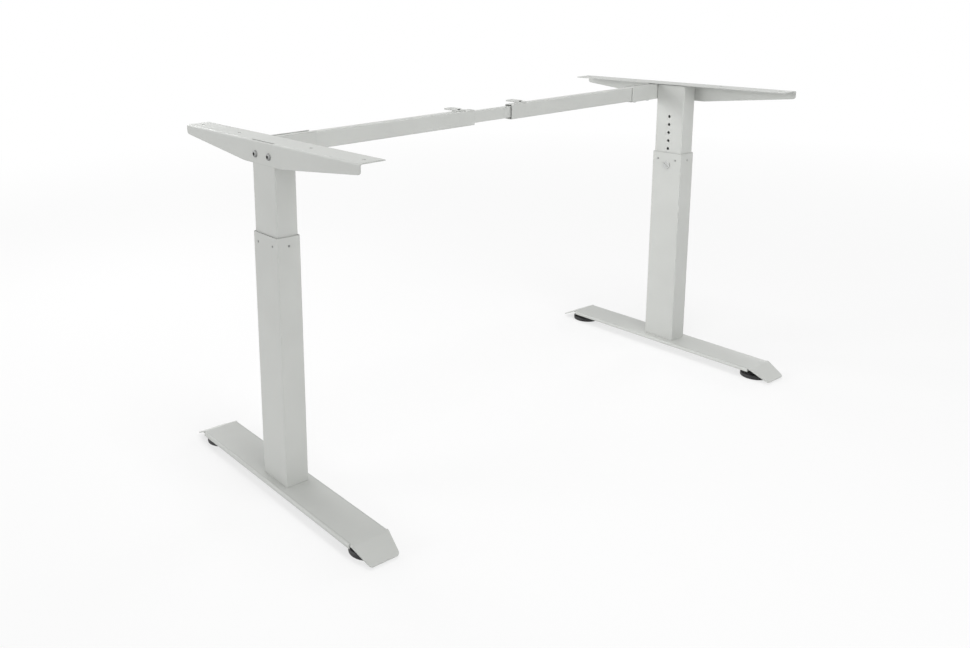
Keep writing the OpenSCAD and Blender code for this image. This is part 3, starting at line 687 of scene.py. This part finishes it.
def build_lock_screw(shape):
    head = [
        circle(4 * mm, -2.5 * mm), circle(4 * mm, 0), circle(lock_head_r - 0.2 * mm, 0),
        circle(lock_head_r, 0.3 * mm), circle(lock_head_r, lock_head_h - 0.6 * mm),
        circle(lock_head_r - 0.25 * mm, lock_head_h - 0.15 * mm),
        circle(lock_head_r - 0.8 * mm, lock_head_h),
    ]
    loft(shape, head)
    slot = bmesh.new()
    bmesh.ops.create_cube(slot, size=1)
    bmesh.ops.scale(slot, verts=slot.verts, vec=lock_slot)
    bmesh.ops.rotate(slot, verts=slot.verts, matrix=Matrix.Rotation(lock_slot_turn, 3, "Z"))
    bmesh.ops.translate(slot, verts=slot.verts, vec=(0, 0, lock_head_h))
    cut_with(shape, slot)
    turn = Matrix.Translation((column_half_w, 0, lock_z)) @ Matrix.Rotation(math.pi / 2, 4, "Y")
    bmesh.ops.transform(shape, matrix=turn, verts=shape.verts)


on_both_legs(
    "slotted_lock_screw", "lock_screw", screw_paint,
    build_lock_screw, ["lock_screw"],
)
finish_nodes(["lock_nut"], zinc_steel)
finish_nodes(["lock_pad"], nylon)

# Inner columns.
# The smaller tube slides in the liner. Fifteen punched holes in its inner wall, 20 mm apart,
# set the height.

inner_half_w = 22.3 * mm
inner_half_d = 37.3 * mm
inner_low = 236.5 * mm
inner_high = 676.5 * mm
hole_pitch = 20 * mm
hole_r = 3.4 * mm
hole_count = 15
holes_above_lock = 6
screw_y = 22.5 * mm
screw_z = 655 * mm


def build_inner_column(shape):
    add_tube(
        shape, upright, inner_half_w, inner_half_d, tube_corner_r, tube_wall,
        inner_low, inner_high,
    )
    levels = [lock_z + (holes_above_lock - i) * hole_pitch for i in range(hole_count)]
    cut_holes(shape, [((inner_half_w, 0, z), (1, 0, 0), hole_r) for z in levels])


on_both_legs(
    "sliding_tube", "upper", grey_coat,
    build_inner_column, ["inner_column"],
)
finish_nodes(["column_shoe"], grey_plastic)

# Tabletop brackets.
# Each is one 2 mm sheet folded to an L, 568 mm long. Its web stands outside the column, full
# depth beside it and tapered to both ends, and its flange lies under the tabletop.

table_z = 680 * mm
bracket_half = 284 * mm
bracket_sheet = 2 * mm
fold_r = 4 * mm
web_x = -24.3 * mm
flange_end_x = 25.7 * mm
web_depth = 42 * mm
web_end_depth = 18 * mm
web_mid_half = 62 * mm
web_corner_r = 7 * mm
table_holes = [262 * mm, 118 * mm]
table_hole_r = 3.25 * mm
screw_hole_r = 4.06 * mm
fold_slot = (2.4 * mm, 2 * inner_half_d, 4.4 * mm)


def build_bracket(shape):
    taper = math.atan((web_depth - web_end_depth) / (bracket_half - web_mid_half))
    corner_y = bracket_half - web_corner_r
    corner_z = table_z - web_end_depth + web_corner_r * (1 / math.cos(taper) - math.tan(taper))
    half = [(web_mid_half, table_z - web_depth)]
    half += arc(corner_y, corner_z, web_corner_r, math.degrees(taper) - 90, 0, 8)
    stations = [(-y, z) for y, z in reversed(half)] + half
    fold_x, fold_z = web_x + fold_r, table_z - fold_r
    outer = arc(fold_x, fold_z, fold_r, 180, 90, 8)
    inner = arc(fold_x, fold_z, fold_r - bracket_sheet, 90, 180, 8)
    rings = []
    for y, bottom in stations:
        section = [(web_x, bottom)] + outer
        section += [(flange_end_x, table_z), (flange_end_x, table_z - bracket_sheet)]
        section += inner + [(web_x + bracket_sheet, bottom)]
        rings.append([(x, y, z) for x, z in section])
    loft(shape, rings)
    holes = []
    for out in (-1, 1):
        holes.append(((web_x, out * screw_y, screw_z), (1, 0, 0), screw_hole_r))
        for y in table_holes:
            hole_x = (web_x + flange_end_x) / 2
            holes.append(((hole_x, out * y, table_z), (0, 0, 1), table_hole_r))
    cut_holes(shape, holes)
    slot = bmesh.new()
    bmesh.ops.create_cube(slot, size=1)
    bmesh.ops.scale(slot, verts=slot.verts, vec=fold_slot)
    slot_x = web_x + bracket_sheet + fold_slot[0] / 2
    bmesh.ops.translate(slot, verts=slot.verts, vec=(slot_x, 0, table_z))
    cut_with(shape, slot)


on_both_legs("folded_bracket", "upper", grey_coat, build_bracket, ["bracket"])
round_edges("folded_bracket", 0.3 * mm)

# Bracket screws.
# Two zinc-plated button head screws with hexagon sockets hold each web to rivet nuts in the
# column's outer wall. The rivet nuts keep their CAD solids.

bracket_head_r = 6.6 * mm
bracket_head_h = 3.4 * mm
bracket_socket_r = 2.9 * mm
bracket_shank_r = 3.9 * mm
bracket_shank_len = 13.8 * mm
dull_steel = plated_steel("bracket_screw", (0.30, 0.305, 0.30), 0.6, (2600, 150, 150))


def paint_socket_shade(material, reach):
    """Painted shade inside the sockets: near black and not metallic, by distance from each screw's
    axis.
    """
    tree = material.node_tree
    place = tree.nodes.new("ShaderNodeTexCoord")
    both = tree.nodes.new("ShaderNodeVectorMath")
    both.operation = "ABSOLUTE"
    off = tree.nodes.new("ShaderNodeVectorMath")
    off.operation = "SUBTRACT"
    off.inputs[1].default_value = (0, screw_y, screw_z)
    flat = tree.nodes.new("ShaderNodeVectorMath")
    flat.operation = "MULTIPLY"
    flat.inputs[1].default_value = (0, 1, 1)
    length = tree.nodes.new("ShaderNodeVectorMath")
    length.operation = "LENGTH"
    inside = tree.nodes.new("ShaderNodeMapRange")
    span = (reach, reach + 0.2 * mm, 1, 0)
    for name, value in zip(("From Min", "From Max", "To Min", "To Max"), span):
        inside.inputs[name].default_value = value
    shader = tree.nodes["Principled BSDF"]
    head = shader.inputs["Base Color"].links[0].from_socket
    # Painted shade of the socket's recess.
    socket_shade = blend_colours(material, inside.outputs["Result"], head, (0.012, 0.012, 0.012), (0, 1))
    metal = tree.nodes.new("ShaderNodeMath")
    metal.operation = "SUBTRACT"
    metal.inputs[0].default_value = 1
    link = tree.links.new
    link(place.outputs["Object"], both.inputs[0])
    link(both.outputs["Vector"], off.inputs[0])
    link(off.outputs["Vector"], flat.inputs[0])
    link(flat.outputs["Vector"], length.inputs[0])
    link(length.outputs["Value"], inside.inputs["Value"])
    link(inside.outputs["Result"], metal.inputs[1])
    link(metal.outputs["Value"], shader.inputs["Metallic"])
    link(socket_shade, shader.inputs["Base Color"])


# Painted shade inside the bracket screws' sockets.
paint_socket_shade(dull_steel, bracket_socket_r + 0.05 * mm)


def build_bracket_screws(shape):
    for y in (-screw_y, screw_y):
        turn = Matrix.Translation((web_x, y, screw_z)) @ Matrix.Rotation(-math.pi / 2, 4, "Y")
        add_button_head(
            shape, turn, bracket_head_r, bracket_head_h, bracket_socket_r,
            bracket_shank_r, bracket_shank_len,
        )


on_both_legs(
    "socket_screws", "upper", dull_steel,
    build_bracket_screws, ["bracket_screws"],
)
finish_nodes(["bracket_nuts"], zinc_steel)

# Rail holders.
# A channel of 2 mm sheet, open at the top, is welded behind each inner column and holds the end
# of the outer rail. Two screws from below draw the rail down to a tapped bar inside it.

rail_y = 49.6 * mm
rail_z = 659.5 * mm
holder_half_d = 12.3 * mm
holder_sheet = 2 * mm
holder_low = 640.7 * mm
holder_high = 677.5 * mm
holder_corner_r = 2.5 * mm
holder_start = -22.3 * mm
holder_end = 119 * mm
holder_screw_x = [45 * mm, 95 * mm]
holder_hole_r = 3.1 * mm
holder_socket_r = 1.75 * mm


def build_holder(shape):
    outer_v = holder_half_d - holder_corner_r
    outer_z = holder_low + holder_corner_r
    inner_r = holder_corner_r - holder_sheet
    section = [(rail_y - holder_half_d, holder_high)]
    section += arc(rail_y - outer_v, outer_z, holder_corner_r, 180, 270, 6)
    section += arc(rail_y + outer_v, outer_z, holder_corner_r, 270, 360, 6)
    section.append((rail_y + holder_half_d, holder_high))
    section.append((rail_y + holder_half_d - holder_sheet, holder_high))
    section += arc(rail_y + outer_v, outer_z, inner_r, 360, 270, 4)
    section += arc(rail_y - outer_v, outer_z, inner_r, 270, 180, 4)
    section.append((rail_y - holder_half_d + holder_sheet, holder_high))
    loft(shape, [[(x, y, z) for y, z in section] for x in (holder_start, holder_end)])
    cut_holes(shape, [((x, rail_y, holder_low), (0, 0, 1), holder_hole_r) for x in holder_screw_x])


def build_holder_screws(shape):
    for x in holder_screw_x:
        turn = Matrix.Translation((x, rail_y, holder_low)) @ Matrix.Rotation(math.pi, 4, "X")
        add_small_screw(shape, turn, holder_socket_r)


on_both_legs(
    "holder_channel", "upper", grey_coat,
    build_holder, ["rail_holder"],
)
on_both_legs(
    "channel_screws", "upper", zinc_steel,
    build_holder_screws, ["holder_screws"],
)
round_edges("holder_channel", 0.3 * mm)
finish_nodes(["nut_bar"], zinc_steel)

# Crossbar, outer rails.
# Rectangular tube, 33 x 20 x 1.5 mm, with its mouth near the middle of the desk. Its plastic
# sleeve is set back in the mouth and keeps its CAD solid.

rail_half_h = 16.5 * mm
rail_half_d = 10 * mm
rail_start = -16.3 * mm
rail_end = 530.5 * mm
rail_corner_r = 2.5 * mm
clamp_x = 494 * mm
clamp_hole_r = 3.05 * mm


def along_rail(u, v, along):
    return (along, rail_y + v, rail_z + u)


def build_outer_rail(shape):
    add_tube(
        shape, along_rail, rail_half_h, rail_half_d, rail_corner_r, tube_wall,
        rail_start, rail_end,
    )
    holes = [((clamp_x, rail_y, rail_z + rail_half_h), (0, 0, 1), clamp_hole_r)]
    for x in holder_screw_x:
        holes.append(((x, rail_y, rail_z - rail_half_h), (0, 0, 1), holder_hole_r))
    cut_holes(shape, holes)


on_both_legs("outer_tube", "upper", grey_coat, build_outer_rail, ["outer_rail"])
finish_nodes(["rail_sleeve"], black_plastic)

# Lugs.
# A 2.5 mm strip with a joggle and round corners is welded across each outer rail near its mouth.
# Its ear behind the rail takes a wood screw up into the tabletop.

lug_half_w = 12.5 * mm
lug_t = 2.5 * mm
lug_step = 1.5 * mm
lug_front = 41.6 * mm
lug_bend = 52.6 * mm
lug_bend_end = 57.6 * mm
lug_end = 84.6 * mm
lug_corner_r = 6 * mm
lug_hole_y = 75.6 * mm
lug_hole_r = 3 * mm
weld_r = 1.4 * mm
weld_len = 9.5 * mm
weld_ripples = 7


def build_lug(shape):
    low = rail_z + rail_half_h
    places = [(lug_front, 0, 0), (lug_bend - 0.6 * mm, 0, 0), (lug_bend + 0.6 * mm, 0.12, 0)]
    places += [(lug_bend_end - 0.6 * mm, 0.88, 0), (lug_bend_end + 0.6 * mm, 1, 0)]
    corner_y = lug_end - lug_corner_r
    places += [(y, 1, lug_corner_r - u) for y, u in arc(corner_y, 0, lug_corner_r, 90, 0, 8)]
    rings = []
    for y, rise, cut in places:
        half_w = lug_half_w - min(cut, lug_corner_r * 0.98)
        base = low + rise * lug_step
        rings.append([
            (clamp_x - half_w, y, base), (clamp_x + half_w, y, base),
            (clamp_x + half_w, y, base + lug_t), (clamp_x - half_w, y, base + lug_t),
        ])
    loft(shape, rings)
    cut_holes(shape, [
        ((clamp_x, rail_y, table_z), (0, 0, 1), clamp_hole_r),
        ((clamp_x, lug_hole_y, table_z), (0, 0, 1), lug_hole_r),
    ], half_len=6 * mm)


def build_weld(shape):
    """Two rippled fillets along the lug's sides."""
    steps = 40
    low = rail_z + rail_half_h
    for out in (-1, 1):
        rings = []
        for i in range(steps + 1):
            share = i / steps
            size = weld_r * (0.82 + 0.18 * abs(math.sin(share * math.pi * weld_ripples)))
            size *= min(1, 0.35 + 6 * min(share, 1 - share))
            y = lug_front + 1 * mm + share * weld_len
            x = clamp_x + out * (lug_half_w - 0.1 * mm)
            bead = [(x + out * u, y, low + v - 0.05 * mm) for u, v in arc(0, 0, size, 0, 90, 5)]
            rings.append([(x, y, low - 0.05 * mm)] + bead)
        loft(shape, rings)


on_both_legs("joggled_lug", "upper", grey_coat, build_lug, ["rail_lug"])
on_both_legs("lug_weld", "upper", grey_coat, build_weld, [])
round_edges("joggled_lug", 0.3 * mm)

# Clamping screws.
# A black socket set screw through the lug presses a nylon pad on the inner rail, which fixes
# the frame's width. The pads keep their CAD solids.

clamp_r = 3 * mm
clamp_low = 673.95 * mm
clamp_high = 679.9 * mm
clamp_socket_r = 1.73 * mm
clamp_pitch = 1 * mm
black_steel = plated_steel("black_screw", (0.05, 0.05, 0.052), 0.38, (150, 150, 2600))


def build_clamp_screw(shape):
    centre = (clamp_x, rail_y)
    root = clamp_r - 0.55 * mm
    loft(shape, [
        circle(root - 0.6 * mm, clamp_low, centre), circle(root, clamp_low + 0.5 * mm, centre),
        circle(root, clamp_high - 0.35 * mm, centre),
        circle(clamp_r - 0.4 * mm, clamp_high - 0.3 * mm, centre),
        circle(clamp_r - 0.7 * mm, clamp_high, centre),
        hexagon(clamp_socket_r * 1.08, clamp_high, centre),
        hexagon(clamp_socket_r, clamp_high - 0.15 * mm, centre),
        hexagon(clamp_socket_r, clamp_high - 3 * mm, centre),
    ])
    add_thread(
        shape, centre, clamp_low + 0.4 * mm, clamp_high - 0.4 * mm, clamp_r, clamp_pitch,
    )


on_both_legs(
    "socket_set_screw", "clamp_screw", black_steel,
    build_clamp_screw, ["clamp_screw"],
)
finish_nodes(["clamp_pad"], nylon)

# Crossbar, inner rail.
# One smaller tube, 25.4 x 12.4 x 1.5 mm, slides in both outer rails and shows between their
# mouths. Plastic plugs close its ends, inside the outer rails, and keep their CAD solids.

inner_rail_half = 411 * mm
inner_rail_half_h = 12.7 * mm
inner_rail_half_d = 6.2 * mm
inner_rail_corner_r = 2 * mm
rail_shape = bmesh.new()
add_tube(
    rail_shape, along_rail, inner_rail_half_h, inner_rail_half_d, inner_rail_corner_r,
    tube_wall, -inner_rail_half, inner_rail_half,
)
make_piece("sliding_rail", rail_shape, "middle_rail", grey_coat, ["inner_rail"])
finish_node("inner_rail_plugs", black_plastic)

# Floor, light and camera.
# A white floor that fades into a white backdrop and keeps the soft shadow. A broad light stands
# on each side of the desk, one above its middle, and a weak one behind fills the right leg.

floor_half = 6
shadow_share = 0.7
fade_start = 1
fade_end = 4
sky_strength = 0.33


def rays_that_see(tree):
    """1 on the rays that show the background itself: straight, as a gloss or through glass."""
    path = tree.nodes.new("ShaderNodeLightPath")
    found = path.outputs["Is Camera Ray"]
    for name in ("Is Glossy Ray", "Is Transmission Ray"):
        pick = tree.nodes.new("ShaderNodeMath")
        pick.operation = "MAXIMUM"
        tree.links.new(found, pick.inputs[0])
        tree.links.new(path.outputs[name], pick.inputs[1])
        found = pick.outputs["Value"]
    return found


floor_mesh = bpy.data.meshes.new("floor")
plane = bmesh.new()
bmesh.ops.create_grid(plane, x_segments=1, y_segments=1, size=floor_half)
plane.to_mesh(floor_mesh)
plane.free()
floor = bpy.data.objects.new("floor", floor_mesh)
bpy.context.scene.collection.objects.link(floor)

white = bpy.data.materials.new("floor_white")
shader = set_shader(white, 0.9, 0, 0.1)
shader.inputs["Base Color"].default_value = (0.92, 0.92, 0.92, 1)
tree = white.node_tree
bright = tree.nodes.new("ShaderNodeEmission")
bright.inputs["Color"].default_value = (1, 1, 1, 1)
bright.inputs["Strength"].default_value = 1
place = tree.nodes.new("ShaderNodeTexCoord")
reach = tree.nodes.new("ShaderNodeVectorMath")
reach.operation = "LENGTH"
fade = tree.nodes.new("ShaderNodeMapRange")
fade_span = (fade_start, fade_end, shadow_share, 1)
for name, value in zip(("From Min", "From Max", "To Min", "To Max"), fade_span):
    fade.inputs[name].default_value = value
share = tree.nodes.new("ShaderNodeMath")
share.operation = "MULTIPLY"
mixed = tree.nodes.new("ShaderNodeMixShader")
tree.links.new(place.outputs["Object"], reach.inputs[0])
tree.links.new(reach.outputs["Value"], fade.inputs["Value"])
tree.links.new(fade.outputs["Result"], share.inputs[0])
tree.links.new(rays_that_see(tree), share.inputs[1])
tree.links.new(share.outputs["Value"], mixed.inputs["Fac"])
tree.links.new(shader.outputs["BSDF"], mixed.inputs[1])
tree.links.new(bright.outputs["Emission"], mixed.inputs[2])
tree.links.new(mixed.outputs["Shader"], tree.nodes["Material Output"].inputs["Surface"])
floor_mesh.materials.append(white)

world = bpy.data.worlds.new("pale")
bpy.context.scene.world = world
world.use_nodes = True
tree = world.node_tree
sky = tree.nodes["Background"]
sky.inputs["Color"].default_value = (1, 1, 1, 1)
sky.inputs["Strength"].default_value = sky_strength
backdrop = tree.nodes.new("ShaderNodeBackground")
backdrop.inputs["Color"].default_value = (1, 1, 1, 1)
backdrop.inputs["Strength"].default_value = 1
mixed = tree.nodes.new("ShaderNodeMixShader")
tree.links.new(rays_that_see(tree), mixed.inputs["Fac"])
tree.links.new(sky.outputs["Background"], mixed.inputs[1])
tree.links.new(backdrop.outputs["Background"], mixed.inputs[2])
tree.links.new(mixed.outputs["Shader"], tree.nodes["World Output"].inputs["Surface"])


def add_light(name, place, target, size, power):
    lamp = bpy.data.lights.new(name, "AREA")
    lamp.shape = "DISK"
    lamp.size = size
    lamp.energy = power
    holder = bpy.data.objects.new(name, lamp)
    bpy.context.scene.collection.objects.link(holder)
    holder.location = place
    holder.visible_camera = False
    holder.rotation_euler = (Vector(target) - Vector(place)).to_track_quat("-Z", "Y").to_euler()


add_light("left_light", (-8.8, 4.8, 2.0), (0, 0, 0.4), 5, 410)
add_light("front_light", (-0.8, -5.5, 1.6), (0, 0, 0.4), 3.2, 128)
add_light("inner_light", (-0.6, 1.7, 1.3), (0.6, 0, 0.35), 0.8, 7)
add_light("middle_light", (-0.4, -0.6, 3.4), (0.6, 0, 0.2), 1.4, 42)
add_light("back_light", (0.8, 6.5, 1.9), (0, 0, 0.4), 3.2, 100)
add_light("right_light", (10, 1.6, 2.0), (0, 0, 0.4), 5, 300)

# The camera sees the desk from its front left corner, with a shifted lens as in the photograph.
photo_width = 970
focal_px = 937.7
shift_px = (180, -140)
camera = bpy.data.objects.new("camera", bpy.data.cameras.new("camera"))
bpy.context.scene.collection.objects.link(camera)
camera.location = (-1.4555, -1.3937, 0.9505)
yaw, pitch, roll = (math.radians(a) for a in (33.85, 12.12, -1.88))
camera.rotation_euler = (
    Matrix.Rotation(-yaw, 4, "Z") @ Matrix.Rotation(math.pi / 2 - pitch, 4, "X")
    @ Matrix.Rotation(roll, 4, "Z")
).to_euler()
camera.data.sensor_width = 36
camera.data.lens = focal_px / photo_width * camera.data.sensor_width
camera.data.shift_x = shift_px[0] / photo_width
camera.data.shift_y = shift_px[1] / photo_width
camera.data.clip_end = 100
bpy.context.scene.camera = camera
bpy.context.scene.view_settings.view_transform = "Standard"
